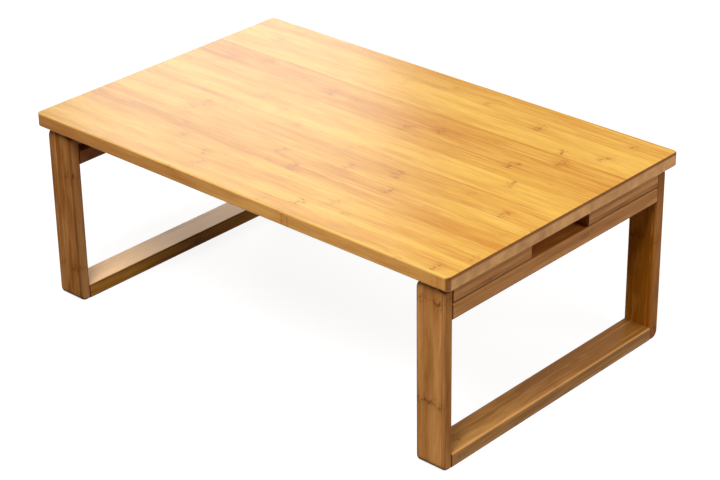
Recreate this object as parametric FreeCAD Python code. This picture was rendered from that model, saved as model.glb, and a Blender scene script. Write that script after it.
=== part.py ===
import FreeCAD, Part
import math
import os

# Low table in laminated bamboo. The top is edge-glued from boards that run along X. Under each end a
# screwed cleat carries a leg frame on two pivot pins, and the frame folds inwards until it lies flat
# under the top. Millimetres, +Z up, origin on the floor under the middle of the top.
# The right end is modelled at +X and mirrored to the left.

Vector = FreeCAD.Vector

# Overall
TOP_LENGTH = 800.0
TOP_WIDTH = 505.0
TOP_THICKNESS = 21.0
TABLE_HEIGHT = 303.0

# Top panel
TOP_CORNER_RADIUS = 8.0
TOP_EDGE_ROUND = 2.0
BOARD_WIDTH = 84.0
FIRST_SEAM_Y = 47.0

# Leg frames
END_INSET = 14.0
SIDE_INSET = 7.5
LEG_WIDTH = 48.0
LEG_THICKNESS = 19.5
LEG_EDGE_ROUND = 4.0
FOOT_CORNER_RADIUS = 12.0
TOP_RAIL_HEIGHT = 23.5
BOTTOM_RAIL_HEIGHT = 22.0
RAIL_EDGE_ROUND = 3.0

# Cleat and its hand slot
CLEAT_HEIGHT = 30.5
CLEAT_EDGE_ROUND = 2.5
SLOT_LENGTH = 125.0
SLOT_DEPTH = 28.0
SLOT_EDGE_ROUND = 1.5

# Pivots
PIVOT_OFFSET = 15.0
PIVOT_PIN_DIAMETER = 8.0
PIN_IN_CLEAT = 30.0
PIN_IN_LEG = 13.0
PIN_END_CHAMFER = 0.8
WASHER_THICKNESS = 0.5
WASHER_INSET = 1.5

# Dowels in the frames' butt joints
DOWEL_DIAMETER = 8.0
DOWEL_IN_LEG = 12.0
DOWEL_IN_RAIL = 18.0
DOWEL_SPACING = 24.0
DOWEL_CHAMFER = 1.0

# Countersunk screws through the cleat into the top
SCREW_DIAMETER = 4.0
SCREW_LENGTH = 40.0
SCREW_TIP_LENGTH = 4.0
SCREW_TIP_DIAMETER = 1.4
SCREW_HEAD_DIAMETER = 8.0
SCREW_RECESS_WIDTH = 1.2
SCREW_RECESS_SPAN = 4.4
SCREW_RECESS_DEPTH = 1.8
SCREW_HEAD_SINK = 0.5
SCREW_EDGE_DISTANCE = 17.0
SCREW_FROM_SLOT = 38.0
SCREW_FROM_CLEAT_END = 48.0

# Clearances
FOLD_GAP = 0.5
RAIL_GAP = 1.5
RUNNING_CLEARANCE = 0.05
GLUE_CLEARANCE = 0.02
HOLE_EXTRA_DEPTH = 0.5
CUT_MARGIN = 5.0

# Two faces whose normals agree by more than the first are taken to run on smoothly, and two lengths
# that differ by less than the second are taken to be the same
SMOOTH_COSINE = 0.99
SAME_LENGTH = 1e-4

# Levels and places that follow from the sizes above
underside_z = TABLE_HEIGHT - TOP_THICKNESS
cleat_bottom_z = underside_z - CLEAT_HEIGHT
leg_top_z = underside_z - FOLD_GAP
top_rail_top_z = cleat_bottom_z - RAIL_GAP
top_rail_bottom_z = top_rail_top_z - TOP_RAIL_HEIGHT
frame_outer_x = TOP_LENGTH / 2 - END_INSET
frame_inner_x = frame_outer_x - LEG_WIDTH
frame_middle_x = (frame_outer_x + frame_inner_x) / 2
leg_outer_y = TOP_WIDTH / 2 - SIDE_INSET
leg_inner_y = leg_outer_y - LEG_THICKNESS
pivot_x = frame_inner_x + PIVOT_OFFSET
pivot_z = leg_top_z - PIVOT_OFFSET
nose_radius = pivot_z - cleat_bottom_z
cleat_inner_x = pivot_x - nose_radius
cleat_end_y = leg_inner_y - WASHER_THICKNESS
slot_back_x = frame_outer_x - SLOT_DEPTH
pin_radius = PIVOT_PIN_DIAMETER / 2
dowel_radius = DOWEL_DIAMETER / 2
screw_radius = SCREW_DIAMETER / 2
screw_x = frame_outer_x - SCREW_EDGE_DISTANCE
screw_head_z = cleat_bottom_z + SCREW_HEAD_SINK
screw_rows_y = (SLOT_LENGTH / 2 + SCREW_FROM_SLOT, cleat_end_y - SCREW_FROM_CLEAT_END)

ALONG_X = Vector(1, 0, 0)
ALONG_Y = Vector(0, 1, 0)
ALONG_Z = Vector(0, 0, 1)


def block(low, high):
    """A box between two opposite corners."""
    return Part.makeBox(high[0] - low[0], high[1] - low[1], high[2] - low[2], Vector(*low))


def mirror_x(shape):
    """The same shape at the other end of the table."""
    return shape.mirror(Vector(0, 0, 0), ALONG_X)


def mirror_y(shape):
    """The same shape at the other side of the table."""
    return shape.mirror(Vector(0, 0, 0), ALONG_Y)


def edges_at(shape, wanted):
    """The edges whose bounding box passes the test."""
    return [edge for edge in shape.Edges if wanted(edge.BoundBox)]


def near(value, target):
    """True where two lengths are the same."""
    return abs(value - target) < SAME_LENGTH


def runs_along(axis, bounds):
    """True for the bounding box of a straight edge along the named axis."""
    spans = {"X": bounds.XLength, "Y": bounds.YLength, "Z": bounds.ZLength}
    return all(near(span, 0.0) for name, span in spans.items() if name != axis)


def sharp_edges(shape):
    """The edges where two faces meet at an angle, without those where they run on smoothly."""
    found = []
    for edge in shape.Edges:
        middle = edge.valueAt((edge.FirstParameter + edge.LastParameter) / 2)
        normals = []
        for face in shape.ancestorsOfType(edge, Part.Face):
            normals.append(face.normalAt(*face.Surface.parameter(middle)))
        if normals[0].dot(normals[-1]) < SMOOTH_COSINE:
            found.append(edge)
    return found


def rod(radius, chamfer, start, direction, length):
    """A round pin with both ends chamfered."""
    body = Part.makeCylinder(radius, length - 2 * chamfer, start + direction * chamfer, direction)
    first = Part.makeCone(radius - chamfer, radius, chamfer, start, direction)
    last = Part.makeCone(radius, radius - chamfer, chamfer, start + direction * (length - chamfer), direction)
    return body.fuse([first, last]).removeSplitter()


def seams():
    """The Y of each glue line in the top, from front to rear."""
    half = TOP_WIDTH / 2
    steps_back = math.floor((FIRST_SEAM_Y + half) / BOARD_WIDTH)
    places = []
    y = FIRST_SEAM_Y - steps_back * BOARD_WIDTH
    while y < half:
        if y > -half:
            places.append(y)
        y += BOARD_WIDTH
    return places


def screw_places():
    """Where the screws of the right cleat stand, as points on the cleat's underside."""
    places = []
    for y in screw_rows_y:
        places.append(Vector(screw_x, -y, cleat_bottom_z))
        places.append(Vector(screw_x, y, cleat_bottom_z))
    return places


def screw_tool(place, clearance):
    """The outside of a screw, grown by a clearance: head cone, shank and point."""
    head_radius = SCREW_HEAD_DIAMETER / 2 + clearance
    shank = screw_radius + clearance
    head_height = SCREW_HEAD_DIAMETER / 2 - screw_radius
    straight = SCREW_LENGTH - head_height - SCREW_TIP_LENGTH
    base = Vector(place.x, place.y, screw_head_z)
    head = Part.makeCone(head_radius, shank, head_height, base, ALONG_Z)
    body = Part.makeCylinder(shank, straight, base + ALONG_Z * head_height, ALONG_Z)
    tip_base = base + ALONG_Z * (head_height + straight)
    tip = Part.makeCone(shank, SCREW_TIP_DIAMETER / 2 + clearance, SCREW_TIP_LENGTH, tip_base, ALONG_Z)
    return head.fuse([body, tip]).removeSplitter()


def screw_hole(place):
    """The pilot hole of a screw, with the sink below its head open to the cleat's underside."""
    sink = Part.makeCylinder(SCREW_HEAD_DIAMETER / 2 + GLUE_CLEARANCE, SCREW_HEAD_SINK + CUT_MARGIN,
                             place - ALONG_Z * CUT_MARGIN, ALONG_Z)
    return screw_tool(place, GLUE_CLEARANCE).fuse(sink)


def screw(place):
    """A countersunk screw with a cross recess in its head."""
    shape = screw_tool(place, 0.0)
    base = Vector(place.x, place.y, screw_head_z)
    wide = SCREW_RECESS_SPAN / 2
    thin = SCREW_RECESS_WIDTH / 2
    for half_x, half_y in ((wide, thin), (thin, wide)):
        low = (base.x - half_x, base.y - half_y, base.z - SCREW_RECESS_DEPTH)
        high = (base.x + half_x, base.y + half_y, base.z + SCREW_RECESS_DEPTH)
        shape = shape.cut(block(low, high))
    return shape


def pivot_bore(radius, depth_in_leg):
    """The bore for one front pivot pin of the right frame, blind in cleat and leg."""
    start = Vector(pivot_x, -cleat_end_y + PIN_IN_CLEAT, pivot_z)
    length = PIN_IN_CLEAT + WASHER_THICKNESS + depth_in_leg
    return Part.makeCylinder(radius, length, start, -ALONG_Y)


def pivot_pin():
    """The front pivot pin of the right frame."""
    start = Vector(pivot_x, -cleat_end_y + PIN_IN_CLEAT, pivot_z)
    length = PIN_IN_CLEAT + WASHER_THICKNESS + PIN_IN_LEG
    return rod(pin_radius, PIN_END_CHAMFER, start, -ALONG_Y, length)


def pivot_washer():
    """The washer on that pin, between the cleat's end and the leg."""
    start = Vector(pivot_x, -cleat_end_y, pivot_z)
    disc = Part.makeCylinder(nose_radius - WASHER_INSET, WASHER_THICKNESS, start, -ALONG_Y)
    hole = Part.makeCylinder(pin_radius + RUNNING_CLEARANCE, WASHER_THICKNESS, start, -ALONG_Y)
    return disc.cut(hole)


def dowel_places():
    """Where the dowels of the right frame's front leg cross its inner face."""
    rail_levels = (BOTTOM_RAIL_HEIGHT / 2, (top_rail_bottom_z + top_rail_top_z) / 2)
    places = []
    for z in rail_levels:
        for side in (-1, 1):
            places.append(Vector(frame_middle_x + side * DOWEL_SPACING / 2, -leg_inner_y, z))
    return places


def dowel_bore(place):
    """The bore for one dowel through both pieces of a joint."""
    start = place + ALONG_Y * (DOWEL_IN_RAIL + HOLE_EXTRA_DEPTH)
    length = DOWEL_IN_RAIL + DOWEL_IN_LEG + 2 * HOLE_EXTRA_DEPTH
    return Part.makeCylinder(dowel_radius + GLUE_CLEARANCE, length, start, -ALONG_Y)


def dowel(place):
    """One dowel, with one end in the rail and the other in the leg."""
    return rod(dowel_radius, DOWEL_CHAMFER, place + ALONG_Y * DOWEL_IN_RAIL, -ALONG_Y,
               DOWEL_IN_RAIL + DOWEL_IN_LEG)


def both_sides(shapes):
    """Front pieces together with their mirror images at the rear."""
    return shapes + [mirror_y(shape) for shape in shapes]


def top_boards():
    """The boards of the top, from front to rear, cut from one rounded panel."""
    low = (-TOP_LENGTH / 2, -TOP_WIDTH / 2, underside_z)
    high = (TOP_LENGTH / 2, TOP_WIDTH / 2, TABLE_HEIGHT)
    panel = block(low, high)
    panel = panel.makeFillet(TOP_CORNER_RADIUS, edges_at(panel, lambda bounds: runs_along("Z", bounds)))
    panel = panel.makeFillet(TOP_EDGE_ROUND, sharp_edges(panel))
    holes = [screw_hole(place) for place in screw_places()]
    holes += [mirror_x(hole) for hole in holes]
    panel = panel.cut(holes)
    limits = [low[1] - CUT_MARGIN] + seams() + [high[1] + CUT_MARGIN]
    boards = []
    for front, rear in zip(limits[:-1], limits[1:]):
        slab = block((low[0] - CUT_MARGIN, front, low[2] - CUT_MARGIN),
                     (high[0] + CUT_MARGIN, rear, high[2] + CUT_MARGIN))
        boards.append(panel.common(slab))
    return boards


def end_cleat():
    """The right cleat: rounded below towards the pivot, with the hand slot cut in from its outer face."""
    corners = (Vector(frame_outer_x, -cleat_end_y, cleat_bottom_z),
               Vector(frame_outer_x, -cleat_end_y, underside_z),
               Vector(cleat_inner_x, -cleat_end_y, underside_z),
               Vector(cleat_inner_x, -cleat_end_y, pivot_z),
               Vector(pivot_x, -cleat_end_y, cleat_bottom_z))
    turn = nose_radius * math.cos(math.radians(45))
    nose_middle = Vector(pivot_x - turn, -cleat_end_y, pivot_z - turn)
    lines = [Part.LineSegment(a, b).toShape() for a, b in zip(corners[:3], corners[1:4])]
    nose = Part.Arc(corners[3], nose_middle, corners[4]).toShape()
    closing = Part.LineSegment(corners[4], corners[0]).toShape()
    outline = Part.Wire(lines + [nose, closing])
    cleat = Part.Face(outline).extrude(ALONG_Y * (2 * cleat_end_y))

    def lower_outer_edge(bounds):
        on_outer_face = near(bounds.XMin, frame_outer_x)
        return runs_along("Y", bounds) and on_outer_face and near(bounds.ZMin, cleat_bottom_z)

    cleat = cleat.makeFillet(CLEAT_EDGE_ROUND, edges_at(cleat, lower_outer_edge))
    slot = block((slot_back_x, -SLOT_LENGTH / 2, cleat_bottom_z - CUT_MARGIN),
                 (frame_outer_x + CUT_MARGIN, SLOT_LENGTH / 2, underside_z + CUT_MARGIN))
    cleat = cleat.cut(slot)

    def slot_mouth_edge(bounds):
        on_outer_face = near(bounds.XMin, frame_outer_x)
        return runs_along("Z", bounds) and on_outer_face and near(abs(bounds.YMin), SLOT_LENGTH / 2)

    cleat = cleat.makeFillet(SLOT_EDGE_ROUND, edges_at(cleat, slot_mouth_edge))
    holes = both_sides([pivot_bore(pin_radius + GLUE_CLEARANCE, PIN_IN_LEG)])
    holes += [screw_hole(place) for place in screw_places()]
    return cleat.cut(holes)


def front_leg():
    """The right frame's front upright, rounded on top about the pivot and below at its outer foot corner."""
    leg = block((frame_inner_x, -leg_outer_y, 0.0), (frame_outer_x, -leg_inner_y, leg_top_z))

    def upper_corner(bounds):
        return runs_along("Y", bounds) and near(bounds.ZMin, leg_top_z)

    def foot_corner(bounds):
        on_outer_face = near(bounds.YMin, -leg_outer_y)
        return runs_along("X", bounds) and on_outer_face and near(bounds.ZMin, 0.0)

    leg = leg.makeFillet(PIVOT_OFFSET, edges_at(leg, upper_corner))
    leg = leg.makeFillet(FOOT_CORNER_RADIUS, edges_at(leg, foot_corner))
    leg = leg.makeFillet(LEG_EDGE_ROUND, sharp_edges(leg))
    holes = [pivot_bore(pin_radius + RUNNING_CLEARANCE, PIN_IN_LEG + HOLE_EXTRA_DEPTH)]
    holes += [dowel_bore(place) for place in dowel_places()]
    return leg.cut(holes)


def rail(bottom_z, top_z):
    """A rail of the right frame, butted between its two uprights."""
    shape = block((frame_inner_x, -leg_inner_y, bottom_z), (frame_outer_x, leg_inner_y, top_z))
    shape = shape.makeFillet(RAIL_EDGE_ROUND, edges_at(shape, lambda bounds: runs_along("Y", bounds)))
    return shape.cut(both_sides([dowel_bore(place) for place in dowel_places()]))


def right_end():
    """Every piece of the right end, by its name without the side."""
    leg = front_leg()
    return {
        "end_cleat": end_cleat(),
        "cleat_screws": Part.makeCompound([screw(place) for place in screw_places()]),
        "pivot_pins": Part.makeCompound(both_sides([pivot_pin()])),
        "pivot_washers": Part.makeCompound(both_sides([pivot_washer()])),
        "leg_SIDE_front": leg,
        "leg_SIDE_rear": mirror_y(leg),
        "top_rail": rail(top_rail_bottom_z, top_rail_top_z),
        "bottom_rail": rail(0.0, BOTTOM_RAIL_HEIGHT),
        "frame_dowels": Part.makeCompound(both_sides([dowel(place) for place in dowel_places()])),
    }


def node_name(name, side):
    """The node's name, with the side in its place or at the end."""
    return name.replace("SIDE", side) if "SIDE" in name else f"{name}_{side}"


def main():
    os.makedirs("parts", exist_ok=True)
    nodes = {}
    for number, board in enumerate(top_boards(), start=1):
        nodes[f"top_board_{number}"] = board
    for name, shape in right_end().items():
        nodes[node_name(name, "right")] = shape
        nodes[node_name(name, "left")] = mirror_x(shape)
    for name, shape in nodes.items():
        shape.exportStep(f"parts/{name}.step")
        print(name, len(shape.Solids), round(shape.Volume, 1), shape.isValid())


main()
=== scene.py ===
import math

import bpy
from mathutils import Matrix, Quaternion, Vector

# Low table in laminated bamboo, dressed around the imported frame. Names that end in _MM hold millimetres, the
# other lengths are metres, angles are degrees, and colours are 8-bit numbers.

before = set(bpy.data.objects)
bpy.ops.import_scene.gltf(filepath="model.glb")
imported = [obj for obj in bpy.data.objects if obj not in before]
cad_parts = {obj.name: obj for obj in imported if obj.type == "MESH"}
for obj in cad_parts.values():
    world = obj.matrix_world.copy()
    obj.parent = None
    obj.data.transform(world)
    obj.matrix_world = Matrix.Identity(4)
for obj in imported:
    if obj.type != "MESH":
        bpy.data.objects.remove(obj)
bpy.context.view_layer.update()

MM_PER_M = 1000.0
COLOUR_FULL = 255.0
WHITE = (255, 255, 255)

# Places of the colour sockets among the inputs and outputs of a Mix node
MIX_FIRST = 6
MIX_SECOND = 7
MIX_RESULT = 2

# Camera, as the photograph sees the table
IMAGE_WIDTH_PX = 720
CAMERA_AZIMUTH = 42.581
CAMERA_ELEVATION = 27.222
CAMERA_ROLL = -0.848
CAMERA_DISTANCE = 3.193208
CAMERA_AIM = (0.048061, -0.033589, 0.155)
FOCAL_LENGTH_PX = 2192.458
SENSOR_WIDTH_MM = 36.0

# Light: square lamps. The one high in front is the main light, and the low one behind to the left gives the
# sheen on the top. The one on the right lights the right end, and a weak one overhead fills in.
TABLE_MIDDLE = (0.0, 0.0, 0.2)
RIGHT_END = (0.5, -0.1, 0.2)
LAMPS = {
    "sheen": {"place": (-1.29, 1.0, 0.9), "side": 0.75, "power": 11.8, "aim": TABLE_MIDDLE, "spread": 180.0},
    "overhead": {"place": (0.1, 0.8, 1.8), "side": 1.6, "power": 6.5, "aim": TABLE_MIDDLE, "spread": 180.0},
    "front": {"place": (0.85, -1.95, 3.25), "side": 1.5, "power": 41.5, "aim": RIGHT_END, "spread": 100.0},
    "right": {"place": (2.3, 0.7, 1.6), "side": 1.4, "power": 25.0, "aim": TABLE_MIDDLE, "spread": 180.0},
}
WORLD_STRENGTH = 0.05
WORLD_COLOUR = (255, 214, 150)

# Floor, whose glow to the eye rises to white between two distances from the middle
FLOOR_HALF = 40.0
FLOOR_COLOUR = (130, 130, 130)
FLOOR_GLOW = 0.89
FLOOR_GLOW_RADII = (0.7, 1.8)

# Bamboo: strips of uneven width lie side by side and in layers. Along each run drifts of tone, streaks,
# fibres, pale lines and knuckles. A pair of sizes is along and across the fibres.
STRIP_WARP_MM = {"period": 55.0, "reach": 18.0}
STRIP_SHIFT_MM = 4000.0
SWAY_MM = {"size": (90.0, 45.0), "reach": 9.0}
DRIFT_MM = (240.0, 26.0)
FIBRE_MM = (50.0, 1.0)
FIBRE_ROUGHNESS = 0.65
PALE_LINE_MM = (420.0, 4.6)
PALE_SHARE = 0.4
GLUE_LINE_MM = 0.5
GLUE_SHARE = 0.35
TONE_SHARES = {"strip": 0.40, "drift": 0.44, "streak": 0.36, "fibre": 0.14, "halo": 0.14}
TONE_OFFSET = -0.17

# Knuckles: a rippled line, blots near it, and a darker stretch around it. Lines and blots are strong up to
# the first distance of a pair and gone at the second. A knuckle's luck, a random number, gives its strength.
KNUCKLE_SPACING_MM = (190.0, 330.0)
KNUCKLE_RIPPLE_MM = {"size": 9.0, "reach": 26.0}
KNUCKLE_LINE_MM = (0.6, 1.8)
KNUCKLE_LINE_SHARE = 0.9
KNUCKLE_LINE_LEAST = 0.3
KNUCKLE_BLOT_MM = (2.0, 11.0)
KNUCKLE_BLOT_SHARE = 0.7
KNUCKLE_SPOT_MM = (7.0, 4.6)
KNUCKLE_HALO_MM = 26.0
KNUCKLE_JITTER_MM = 7.0
KNUCKLE_FADED = 0.4
KNUCKLE_LUCK = (0.15, 0.75)
LEG_KNUCKLE_SPACING_MM = 155.0

# Cut ends: dark dots, larger clouds and a band or rim of the rim colour
END_DOT_MM = 1.1
END_DOT_SHARE = 0.2
END_CLOUD_MM = 26.0
END_CLOUD_SHARE = 0.25
END_BAND_SHARE = 0.75
RIM_SHARE = 0.75

# Noise: its detail, and the levels between which a mark goes from nothing to full
COARSE_DETAIL = 2.0
MIDDLE_DETAIL = 3.0
FINE_DETAIL = 4.0
GRAIN_LEVELS = (0.3, 0.7)
PALE_LEVELS = (0.58, 0.72)
SPOT_LEVELS = (0.46, 0.64)
END_DOT_LEVELS = (0.40, 0.65)
END_CLOUD_LEVELS = (0.35, 0.65)

# How squarely a surface has to face a direction to start to count and to count in full, and the same for the
# product of two directions on rounded edges
FACE_ON = (0.6, 0.95)
CUT_END = (0.45, 0.80)
LONG_EDGE = (0.10, 0.42)
END_RIM = (0.12, 0.40)

# Steps that give each piece, strip, layer and knuckle random numbers of its own
SEED_FIRST = 3
SEED_STEP = 7
STRIP_STEP = 17.0
LAYER_STEP = 5.0
KNUCKLE_STEP = 31.0
KNUCKLE_SEED_SHIFT = 0.5

# Lacquer: how much rougher fibres and cut ends are, and the relief that can be felt
FIBRE_GLOSS_SPREAD = 0.08
CUT_GLOSS_LOSS = 0.15
BUMP_STRENGTH = 0.25
BUMP_DISTANCE = 0.0002
FIBRE_RELIEF = 0.3
KNUCKLE_RELIEF = 0.2

# Kinds of bamboo. The axes are along the fibres, across the strips and through the layers. A pair of colours
# is light and dark: "side" on faces that look across the strips, partly their edge grain and partly painted
# light and shade for the light those faces get, and "inner_side", lighter, on those that look along X to the
# middle of the table, as painted light. "upper_depth" and "side_depth" paint shade on faces
# that look up or across the strips, and light below zero, by a depth at the origin and its change per metre
# along the fibres. "outward" weighs a normal's X, Y and Z, each counted away from the middle. Rounded edges
# where the sum is over "outward_from" take the "edge" colour, the others "inner_edge": painted highlights and
# painted shade, light on all edges of the top and on the rails' outer upper edges, dark on the rails' other
# edges and on the legs' edges that turn in towards the middle. "rim" lines cut ends, with the share
# "rim_below" on surfaces that look down.
# The top: painted highlights on its rounded edges, and painted shade that darkens its sides to the left
TOP_KIND = {
    "axes": ("X", "Y", "Z"), "strip_mm": 25.0, "layer_mm": 30.0, "streak_mm": (70.0, 4.4), "contrast": 1.0,
    "light": (225, 178, 76), "dark": (190, 123, 26), "pale": (232, 192, 104),
    "knuckle": (140, 70, 2), "knuckle_share": 0.88, "knuckle_fade_mm": (-450.0, 250.0),
    "side": ((248, 184, 104), (200, 128, 60)), "side_share": 0.8, "side_depth": (0.08, -0.8),
    "end": (236, 178, 116), "end_band_mm": (297.5, 300.5), "rim": (104, 52, 14), "rim_below": 0.0,
    "outward": (0.0, 0.0, 1.0), "outward_from": 0.45,
    "edge": (240, 198, 118), "edge_share": 0.5, "inner_edge": (236, 186, 120), "inner_share": 0.4,
    "roughness": 0.30, "specular": 0.085,
}
# The legs: faces that look along X are darker, partly their edge grain and partly painted shade;
# faces to the middle of the table are lighter, as painted light; edges turned inward get painted shade.
LEG_KIND = {
    "axes": ("Z", "X", "Y"), "strip_mm": 16.0, "layer_mm": 20.0, "streak_mm": (60.0, 9.0), "contrast": 0.85,
    "light": (232, 168, 98), "dark": (158, 95, 40), "pale": (240, 184, 116),
    "knuckle": (84, 44, 16), "knuckle_share": 0.85,
    "side": ((176, 114, 60), (128, 76, 34)), "side_share": 0.5,
    "inner_side": ((255, 200, 134), (206, 140, 80)), "inner_side_share": 0.6,
    "end": (214, 164, 116), "rim": (80, 44, 16), "rim_below": 1.0,
    "outward": (-1.0, 1.0, 0.0), "outward_from": 0.5,
    "edge": (92, 50, 18), "edge_share": 0.6, "inner_edge": (180, 118, 62), "inner_share": 0.2,
    "roughness": 0.40, "specular": 0.02,
}
# The left leg: its faces that look along X darker towards the top, as painted shade.
LEFT_LEG_KIND = {**LEG_KIND, "side_depth": (-0.24, 2.0)}
# The far leg: warmer, more saturated colours, as painted shade for a leg that stands back under the top.
SHADED_FAR_LEG_KIND = {
    **LEG_KIND, "light": (232, 166, 74), "dark": (158, 92, 16),
    "side": ((206, 142, 84), (156, 100, 54)), "side_share": 0.8,
}
# The rails: painted highlights on their outer upper edges and painted shade on their other edges
RAIL_KIND = {
    "axes": ("Y", "X", "Z"), "strip_mm": 17.0, "layer_mm": 7.4, "streak_mm": (70.0, 8.0), "contrast": 0.9,
    "light": (228, 162, 92), "dark": (158, 95, 38), "pale": (238, 182, 116),
    "knuckle": (88, 46, 16), "knuckle_share": 0.6,
    "side": ((222, 156, 92), (170, 106, 50)), "side_share": 0.3,
    "end": (164, 104, 60), "rim": (96, 54, 20), "rim_below": 1.0,
    "outward": (1.0, 0.0, 1.0), "outward_from": 0.9,
    "edge": (236, 176, 112), "edge_share": 0.4, "inner_edge": (70, 38, 14), "inner_share": 0.75,
    "roughness": 0.26, "specular": 0.06,
}
# The top rail's upper face, seen down the slot under the top, is darker: painted shade.
TOP_RAIL_KIND = {**RAIL_KIND, "upper_depth": (0.35, 0.0)}
# The right foot: its upper face and sides darker towards the far end, as painted shade.
RIGHT_FOOT_KIND = {
    **RAIL_KIND, "upper_depth": (0.0, 2.8), "light": (228, 170, 98), "dark": (150, 98, 38),
    "side": ((216, 164, 98), (160, 110, 54)), "side_share": 0.6, "side_depth": (0.06, 0.5),
}
# The left foot: a lighter upper face as painted light, and darker, more saturated sides as painted shade.
LEFT_FOOT_KIND = {
    **RAIL_KIND, "upper_depth": (-0.6, 0.0), "light": (255, 206, 142), "pale": (255, 212, 154),
    "side": ((210, 146, 40), (158, 96, 12)), "side_share": 0.9, "specular": 0.05,
}
KIND_OF_NODES = {
    "top_board": TOP_KIND,
    "leg_left": LEFT_LEG_KIND,
    "leg_right_front": LEG_KIND,
    "leg_right_rear": SHADED_FAR_LEG_KIND,
    "end_cleat": RAIL_KIND,
    "top_rail": TOP_RAIL_KIND,
    "bottom_rail_right": RIGHT_FOOT_KIND,
    "bottom_rail_left": LEFT_FOOT_KIND,
}

# How much darker a piece is than its kind, or lighter below zero, partly each piece's own tone and partly
# painted shade on pieces that get less light, and the level of one knuckle on each leg
PIECE_TONE_AND_SHADE = {
    "leg_left_front": 0.28, "leg_left_rear": 0.15, "leg_right_front": 0.05, "leg_right_rear": 0.36,
    "top_rail_left": 0.40, "top_rail_right": 0.08, "bottom_rail_right": 0.32, "end_cleat_left": 0.10,
    "top_board_3": 0.10, "top_board_4": -0.04, "top_board_5": 0.08,
}
LEG_KNUCKLE_LEVEL_MM = {
    "leg_left_front": 214.0, "leg_left_rear": 236.0, "leg_right_front": 261.0, "leg_right_rear": 170.0,
}

# Finishes of the hidden fittings, with a fine mottling of tone and gloss
FINISHES = {
    "dowel_wood": {"colour": (200, 150, 98), "roughness": 0.6, "metallic": 0.0},
    "steel": {"colour": (178, 178, 180), "roughness": 0.32, "metallic": 1.0},
    "nylon": {"colour": (226, 222, 210), "roughness": 0.5, "metallic": 0.0},
}
FINISH_OF_NODES = {
    "frame_dowels": "dowel_wood",
    "pivot_pins": "steel",
    "cleat_screws": "steel",
    "pivot_washers": "nylon",
}
MOTTLE_MM = 0.5
MOTTLE_SHADE = 0.8
MOTTLE_GLOSS = 0.06


def linear(colour):
    """A colour seen as 8-bit numbers, as the shader's own numbers, by the sRGB curve."""
    channels = []
    for value in colour:
        share = value / COLOUR_FULL
        channels.append(share / 12.92 if share <= 0.04045 else ((share + 0.055) / 1.055) ** 2.4)
    return (*channels, 1.0)


class Nodes:
    """Shader nodes under construction in one tree. A value is a number, a tuple or another node's output."""

    def __init__(self, tree):
        self.tree = tree

    def put(self, value, socket):
        """Sets a socket's own number, or joins an output to it."""
        if isinstance(value, bpy.types.NodeSocket):
            self.tree.links.new(value, socket)
        else:
            socket.default_value = value

    def add(self, kind, values, **settings):
        """A new node with its inputs given by name or number."""
        node = self.tree.nodes.new(kind)
        for name, value in settings.items():
            setattr(node, name, value)
        for name, value in values.items():
            self.put(value, node.inputs[name])
        return node

    def math(self, operation, first, second=0.0, clamp=False):
        """One arithmetic step on two numbers."""
        node = self.add("ShaderNodeMath", {0: first, 1: second}, operation=operation, use_clamp=clamp)
        return node.outputs[0]

    def total(self, first, second):
        """The sum of two numbers."""
        return self.math("ADD", first, second)

    def less(self, first, second):
        """The first number less the second."""
        return self.math("SUBTRACT", first, second)

    def times(self, first, second):
        """The product of two numbers."""
        return self.math("MULTIPLY", first, second)

    def over(self, first, second):
        """The first number divided by the second."""
        return self.math("DIVIDE", first, second)

    def larger(self, first, second):
        """The larger of two numbers."""
        return self.math("MAXIMUM", first, second)

    def ramp(self, value, start, end, low=0.0, high=1.0):
        """A smooth change from low to high as the value goes from start to end."""
        values = {"Value": value, "From Min": start, "From Max": end, "To Min": low, "To Max": high}
        return self.add("ShaderNodeMapRange", values, interpolation_type="SMOOTHSTEP").outputs["Result"]

    def vector(self, x, y, z):
        """Three numbers as one vector."""
        return self.add("ShaderNodeCombineXYZ", {"X": x, "Y": y, "Z": z}).outputs["Vector"]

    def parts(self, vector):
        """A vector's X, Y and Z."""
        return self.add("ShaderNodeSeparateXYZ", {"Vector": vector}).outputs

    def noise(self, vector, detail=COARSE_DETAIL, roughness=0.5):
        """Cloudy numbers around a half."""
        values = {"Vector": vector, "Scale": 1.0, "Detail": detail, "Roughness": roughness}
        return self.add("ShaderNodeTexNoise", values).outputs["Fac"]

    def swing(self, vector, reach):
        """Cloudy numbers to both sides of zero, over the reach in all."""
        return self.times(self.less(self.noise(vector), 0.5), reach)

    def chance(self, number, seed):
        """Three random numbers that belong to a whole number."""
        shifted = self.total(number, seed)
        colour = self.add("ShaderNodeTexWhiteNoise", {"W": shifted}, noise_dimensions="1D").outputs["Color"]
        return self.add("ShaderNodeSeparateColor", {"Color": colour}).outputs[:3]

    def mix(self, share, first, second):
        """A colour between two others, each written as 8-bit numbers or another node's output."""
        node = self.add("ShaderNodeMix", {}, data_type="RGBA")
        self.put(share, node.inputs["Factor"])
        for colour, place in ((first, MIX_FIRST), (second, MIX_SECOND)):
            self.put(linear(colour) if isinstance(colour, tuple) else colour, node.inputs[place])
        return node.outputs[MIX_RESULT]

    def seen_directly(self):
        """1 where the eye, a reflection or a refraction sees the surface, 0 for light that it scatters."""
        rays = self.add("ShaderNodeLightPath", {}).outputs
        seen = rays["Is Camera Ray"]
        for ray in ("Is Glossy Ray", "Is Transmission Ray"):
            seen = self.larger(seen, rays[ray])
        return seen


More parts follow.
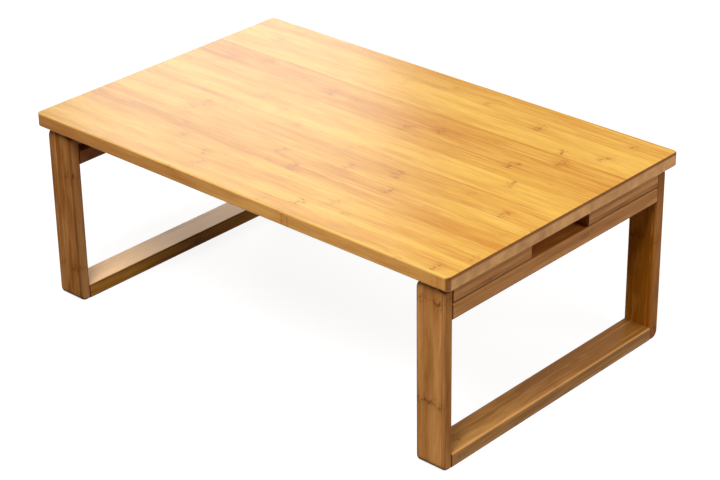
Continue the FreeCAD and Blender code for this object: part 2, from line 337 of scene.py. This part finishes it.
class Surface(Nodes):
    """A material under construction."""

    def __init__(self, name):
        self.material = bpy.data.materials.new(name)
        self.material.use_nodes = True
        super().__init__(self.material.node_tree)
        self.inputs = self.tree.nodes["Principled BSDF"].inputs

    def give(self, name, value):
        """Sets or joins one input of the shader."""
        self.put(value, self.inputs[name])

    def coordinate(self, name):
        """A point of the piece, or the normal there, in the piece's own frame."""
        return self.add("ShaderNodeTexCoord", {}).outputs[name]

    def spot(self, per_metre):
        """A point of the piece, in so many units to the metre."""
        values = {0: self.coordinate("Object"), 1: (per_metre,) * 3}
        return self.add("ShaderNodeVectorMath", values, operation="MULTIPLY").outputs["Vector"]


class Bamboo(Surface):
    """Laminated bamboo for one piece, with fibres along the first axis of its kind."""

    def __init__(self, name, kind, seed, depth=0.0, knuckle_level=None):
        super().__init__(name)
        self.kind = kind
        self.seed = seed
        self.find_place()
        self.find_strip()
        self.make_grain()
        self.make_knuckles(knuckle_level)
        colour = self.colour_faces(self.find_tone(depth))
        colour = self.colour_ends(colour, depth)
        self.give("Base Color", self.colour_edges(colour))
        self.make_lacquer()

    def find_place(self):
        """Where a point lies along, across and through the fibres, and which way the surface faces there."""
        spots = self.parts(self.spot(MM_PER_M))
        normals = self.parts(self.coordinate("Normal"))
        axes = self.kind["axes"]
        self.along, self.across, self.through = (spots[axis] for axis in axes)
        self.end_on, self.side_on, self.flat_on = (self.math("ABSOLUTE", normals[axis]) for axis in axes)
        self.sideways = self.ramp(self.side_on, *FACE_ON)
        self.above = self.ramp(normals["Z"], *FACE_ON)
        self.below = self.math("GREATER_THAN", 0.0, normals["Z"])
        away = {axis: self.times(normals[axis], self.math("SIGN", spots[axis])) for axis in "XYZ"}
        self.inward = self.times(away["X"], -1.0)
        self.outward = 0.0
        for axis, weight in zip("XYZ", self.kind["outward"]):
            self.outward = self.total(self.outward, self.times(away[axis], weight))

    def find_strip(self):
        """Which strip a point is in, what is random about that strip, and how far its edge is."""
        warp_place = self.vector(self.over(self.across, STRIP_WARP_MM["period"]), self.seed, 0.0)
        warp = self.swing(warp_place, STRIP_WARP_MM["reach"])
        side = self.over(self.total(self.across, warp), self.kind["strip_mm"])
        level = self.over(self.through, self.kind["layer_mm"])
        strip = self.times(self.math("FLOOR", side), STRIP_STEP)
        layer = self.times(self.math("FLOOR", level), LAYER_STEP)
        self.number = self.total(strip, layer)
        self.strip_tone, self.shift, self.spread = self.chance(self.number, self.seed)
        self.run = self.total(self.along, self.times(self.shift, STRIP_SHIFT_MM))
        length, width = SWAY_MM["size"]
        sway_place = self.vector(self.over(self.run, length), self.over(self.across, width), self.number)
        self.sway = self.swing(sway_place, SWAY_MM["reach"])
        edges = (self.border(side, self.kind["strip_mm"]), self.border(level, self.kind["layer_mm"]))
        self.edge = self.math("MINIMUM", *edges)

    def border(self, turns, size_mm):
        """How far a point is from the nearer edge of its strip or layer."""
        middle = self.math("ABSOLUTE", self.less(self.math("FRACT", turns), 0.5))
        return self.times(self.less(0.5, middle), size_mm)

    def stretched(self, sizes):
        """Noise coordinates for marks of the given length along and width across the fibres."""
        length, width = sizes
        across = self.over(self.total(self.across, self.sway), width)
        through = self.over(self.total(self.through, self.sway), width)
        return self.vector(self.over(self.run, length), across, through)

    def crosswise(self, size_mm, number):
        """Noise coordinates for marks of one size across the fibres, different for each number."""
        return self.vector(self.over(self.across, size_mm), self.over(self.through, size_mm), number)

    def make_grain(self):
        """Drifts, streaks, fibres, pale lines and the dark glue lines between strips."""
        self.drift = self.ramp(self.noise(self.stretched(DRIFT_MM)), *GRAIN_LEVELS)
        streak = self.noise(self.stretched(self.kind["streak_mm"]), MIDDLE_DETAIL)
        self.streak = self.ramp(streak, *GRAIN_LEVELS)
        fibre = self.noise(self.stretched(FIBRE_MM), FINE_DETAIL, FIBRE_ROUGHNESS)
        self.fibre = self.ramp(fibre, *GRAIN_LEVELS)
        self.pale = self.ramp(self.noise(self.stretched(PALE_LINE_MM)), *PALE_LEVELS)
        self.glue = self.times(self.ramp(self.edge, 0.0, GLUE_LINE_MM, GLUE_SHARE, 0.0), self.spread)

    def make_knuckles(self, knuckle_level):
        """Rippled dark lines that cross a strip at intervals, with blots and a darker stretch around them."""
        ripple_place = self.crosswise(KNUCKLE_RIPPLE_MM["size"], self.number)
        ripple = self.swing(ripple_place, KNUCKLE_RIPPLE_MM["reach"])
        if knuckle_level is None:
            spacing = self.ramp(self.spread, 0.0, 1.0, *KNUCKLE_SPACING_MM)
            start = self.run
        else:
            spacing = LEG_KNUCKLE_SPACING_MM
            jitter = self.times(self.shift, KNUCKLE_JITTER_MM)
            start = self.total(self.less(self.along, knuckle_level), jitter)
        turns = self.total(self.over(self.total(start, ripple), spacing), 0.5)
        offset = self.times(self.less(self.math("FRACT", turns), 0.5), spacing)
        distance = self.math("ABSOLUTE", offset)
        each = self.total(self.number, self.times(self.math("FLOOR", turns), KNUCKLE_STEP))
        luck = self.chance(each, self.seed + KNUCKLE_SEED_SHIFT)[0]
        strength = self.ramp(luck, *KNUCKLE_LUCK)
        length, width = KNUCKLE_SPOT_MM
        spot_place = self.vector(self.over(self.across, width), self.over(self.run, length), self.number)
        spots = self.ramp(self.noise(spot_place, MIDDLE_DETAIL), *SPOT_LEVELS)
        line = self.ramp(distance, *KNUCKLE_LINE_MM, KNUCKLE_LINE_SHARE, 0.0)
        line = self.times(line, self.ramp(spots, 0.0, 1.0, KNUCKLE_LINE_LEAST, 1.0))
        blot = self.times(self.ramp(distance, *KNUCKLE_BLOT_MM, KNUCKLE_BLOT_SHARE, 0.0), spots)
        dark = self.times(self.larger(line, blot), strength)
        self.knuckle = self.times(dark, self.kind["knuckle_share"])
        if "knuckle_fade_mm" in self.kind:
            fade = self.ramp(self.along, *self.kind["knuckle_fade_mm"], KNUCKLE_FADED, 1.0)
            self.knuckle = self.times(self.knuckle, fade)
        self.halo = self.times(self.ramp(distance, 0.0, KNUCKLE_HALO_MM, 1.0, 0.0), strength)

    def find_tone(self, depth):
        """How dark the bamboo is, from 0 for its light colour to 1 for its dark one."""
        marks = {"strip": self.strip_tone, "drift": self.drift, "streak": self.streak,
                 "fibre": self.fibre, "halo": self.halo}
        contrast = self.kind["contrast"]
        middle = 0.5 * sum(TONE_SHARES.values())
        # The depth is partly the piece's own tone and partly painted shade.
        tone = depth + TONE_OFFSET + middle * (1.0 - contrast)
        for name, share in TONE_SHARES.items():
            tone = self.total(tone, self.times(marks[name], share * contrast))
        # Painted shade on faces that look up or across the strips, and painted light where it is below zero
        for share, name in ((self.above, "upper_depth"), (self.sideways, "side_depth")):
            if name in self.kind:
                at_origin, per_metre = self.kind[name]
                drift = self.total(self.times(self.along, per_metre / MM_PER_M), at_origin)
                tone = self.total(tone, self.times(share, drift))
        return self.math("MULTIPLY", tone, 1.0, clamp=True)

    def colour_faces(self, tone):
        """The colour of faces along the fibres, with the knuckles and glue lines on them."""
        kind = self.kind
        colour = self.mix(tone, kind["light"], kind["dark"])
        colour = self.mix(self.times(self.pale, PALE_SHARE * kind["contrast"]), colour, kind["pale"])
        # Faces across the strips and faces to the middle take colours that are partly painted light and shade
        side_share = self.times(self.sideways, kind["side_share"])
        colour = self.mix(side_share, colour, self.mix(tone, *kind["side"]))
        if "inner_side" in kind:
            inner_share = self.ramp(self.inward, *FACE_ON, 0.0, kind["inner_side_share"])
            colour = self.mix(inner_share, colour, self.mix(tone, *kind["inner_side"]))
        return self.mix(self.larger(self.knuckle, self.glue), colour, kind["knuckle"])

    def colour_ends(self, colour, depth):
        """The colour with cut ends added."""
        kind = self.kind
        dots = self.ramp(self.noise(self.crosswise(END_DOT_MM, self.seed)), *END_DOT_LEVELS)
        clouds = self.noise(self.crosswise(END_CLOUD_MM, self.seed), FINE_DETAIL)
        clouds = self.ramp(clouds, *END_CLOUD_LEVELS)
        shade = self.total(self.times(dots, END_DOT_SHARE), self.times(clouds, END_CLOUD_SHARE))
        # The piece's depth, partly painted shade, darkens its cut ends too
        cut_colour = self.mix(self.total(shade, depth), kind["end"], kind["rim"])
        if "end_band_mm" in kind:
            band = self.ramp(self.through, *kind["end_band_mm"], 0.0, END_BAND_SHARE)
            cut_colour = self.mix(band, cut_colour, kind["rim"])
        self.cut = self.ramp(self.end_on, *CUT_END)
        return self.mix(self.cut, colour, cut_colour)

    def colour_edges(self, colour):
        """The colour with painted highlights and shade on edges along the fibres, and rims around cut ends."""
        kind = self.kind
        # Long rounded edges: painted highlights and painted shade, by the way they look
        long_edge = self.ramp(self.times(self.side_on, self.flat_on), *LONG_EDGE)
        outer = self.math("GREATER_THAN", self.outward, kind["outward_from"])
        outer_share = self.times(self.times(long_edge, outer), kind["edge_share"])
        inner_share = self.times(self.times(long_edge, self.less(1.0, outer)), kind["inner_share"])
        colour = self.mix(outer_share, colour, kind["edge"])
        colour = self.mix(inner_share, colour, kind["inner_edge"])
        rim = self.times(self.end_on, self.larger(self.side_on, self.flat_on))
        rim_share = self.ramp(rim, *END_RIM, 0.0, RIM_SHARE)
        rim_share = self.times(rim_share, self.ramp(self.below, 0.0, 1.0, 1.0, kind["rim_below"]))
        return self.mix(rim_share, colour, kind["rim"])

    def make_lacquer(self):
        """A satin coat, duller on cut ends, over fibres that can just be felt."""
        smoothest = self.kind["roughness"] - FIBRE_GLOSS_SPREAD / 2.0
        gloss = self.total(self.times(self.fibre, FIBRE_GLOSS_SPREAD), smoothest)
        gloss = self.total(gloss, self.times(self.cut, CUT_GLOSS_LOSS))
        self.give("Roughness", gloss)
        self.give("Specular IOR Level", self.kind["specular"])
        marks = self.total(self.glue, self.times(self.knuckle, KNUCKLE_RELIEF))
        height = self.less(self.times(self.fibre, FIBRE_RELIEF), marks)
        values = {"Strength": BUMP_STRENGTH, "Distance": BUMP_DISTANCE, "Height": height}
        self.give("Normal", self.add("ShaderNodeBump", values).outputs["Normal"])


def mottled(name, colour, roughness, metallic):
    """A simple finish with a little mottling."""
    surface = Surface(name)
    mottle = surface.noise(surface.spot(MM_PER_M / MOTTLE_MM), MIDDLE_DETAIL)
    darker = tuple(channel * MOTTLE_SHADE for channel in colour)
    surface.give("Base Color", surface.mix(mottle, colour, darker))
    gloss = surface.ramp(mottle, *GRAIN_LEVELS, roughness - MOTTLE_GLOSS, roughness + MOTTLE_GLOSS)
    surface.give("Roughness", gloss)
    surface.give("Metallic", metallic)
    return surface.material


def named(start):
    """The CAD nodes whose names start so."""
    return [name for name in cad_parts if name.startswith(start)]


def dress(name, material):
    """Gives a CAD node a material in all its slots."""
    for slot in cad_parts[name].material_slots:
        slot.material = material


def dress_in_bamboo(name, kind):
    """Gives a CAD node bamboo of its own."""
    seed = float(sorted(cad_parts).index(name) * SEED_STEP + SEED_FIRST)
    # Each piece's own tone and, on pieces that get less light, painted shade
    depth = PIECE_TONE_AND_SHADE.get(name, 0.0)
    bamboo = Bamboo("bamboo_" + name, kind, seed, depth, LEG_KNUCKLE_LEVEL_MM.get(name))
    dress(name, bamboo.material)


def make_lamp(name, place, side, power, aim, spread):
    """A square lamp that points at the table and throws a cone of light."""
    lamp = bpy.data.lights.new(name, "AREA")
    lamp.shape = "SQUARE"
    lamp.size = side
    lamp.energy = power
    lamp.spread = math.radians(spread)
    thing = bpy.data.objects.new(name, lamp)
    thing.location = place
    thing.rotation_mode = "QUATERNION"
    thing.rotation_quaternion = (Vector(aim) - Vector(place)).to_track_quat("-Z", "Y")
    bpy.context.scene.collection.objects.link(thing)


def make_world():
    """White to the eye, and a soft even light on the table."""
    world = bpy.data.worlds.new("studio")
    world.use_nodes = True
    nodes = Nodes(world.node_tree)
    background = world.node_tree.nodes["Background"].inputs
    seen = nodes.seen_directly()
    nodes.put(nodes.ramp(seen, 0.0, 1.0, WORLD_STRENGTH, 1.0), background["Strength"])
    nodes.put(nodes.mix(seen, WORLD_COLOUR, WHITE), background["Color"])
    bpy.context.scene.world = world


def make_floor():
    """A plain floor that looks white and keeps the table's shadow."""
    mesh = bpy.data.meshes.new("floor")
    corners = [(x * FLOOR_HALF, y * FLOOR_HALF, 0.0) for x, y in ((-1, -1), (1, -1), (1, 1), (-1, 1))]
    mesh.from_pydata(corners, [], [(0, 1, 2, 3)])
    floor = bpy.data.objects.new("floor", mesh)
    bpy.context.scene.collection.objects.link(floor)
    surface = Surface("floor")
    surface.give("Base Color", linear(FLOOR_COLOUR))
    surface.give("Roughness", 1.0)
    surface.give("Specular IOR Level", 0.0)
    surface.give("Emission Color", linear(WHITE))
    place = surface.coordinate("Object")
    radius = surface.add("ShaderNodeVectorMath", {0: place}, operation="LENGTH").outputs["Value"]
    glow = surface.ramp(radius, *FLOOR_GLOW_RADII, FLOOR_GLOW, 1.0)
    surface.give("Emission Strength", surface.times(surface.seen_directly(), glow))
    mesh.materials.append(surface.material)


def make_camera():
    """The photograph's viewpoint."""
    data = bpy.data.cameras.new("camera")
    data.sensor_width = SENSOR_WIDTH_MM
    data.lens = FOCAL_LENGTH_PX / IMAGE_WIDTH_PX * SENSOR_WIDTH_MM
    camera = bpy.data.objects.new("camera", data)
    azimuth, elevation = math.radians(CAMERA_AZIMUTH), math.radians(CAMERA_ELEVATION)
    level = math.cos(elevation)
    back = Vector((math.sin(azimuth) * level, -math.cos(azimuth) * level, math.sin(elevation)))
    camera.location = Vector(CAMERA_AIM) + back * CAMERA_DISTANCE
    camera.rotation_mode = "QUATERNION"
    roll = Quaternion((0.0, 0.0, 1.0), math.radians(CAMERA_ROLL))
    camera.rotation_quaternion = (-back).to_track_quat("-Z", "Y") @ roll
    bpy.context.scene.collection.objects.link(camera)
    bpy.context.scene.camera = camera


for start, kind in KIND_OF_NODES.items():
    for node in named(start):
        dress_in_bamboo(node, kind)
finishes = {name: mottled(name, **facts) for name, facts in FINISHES.items()}
for start, finish in FINISH_OF_NODES.items():
    for node in named(start):
        dress(node, finishes[finish])

make_world()
make_floor()
for name, facts in LAMPS.items():
    make_lamp(name, **facts)
make_camera()
bpy.context.scene.view_settings.view_transform = "Standard"
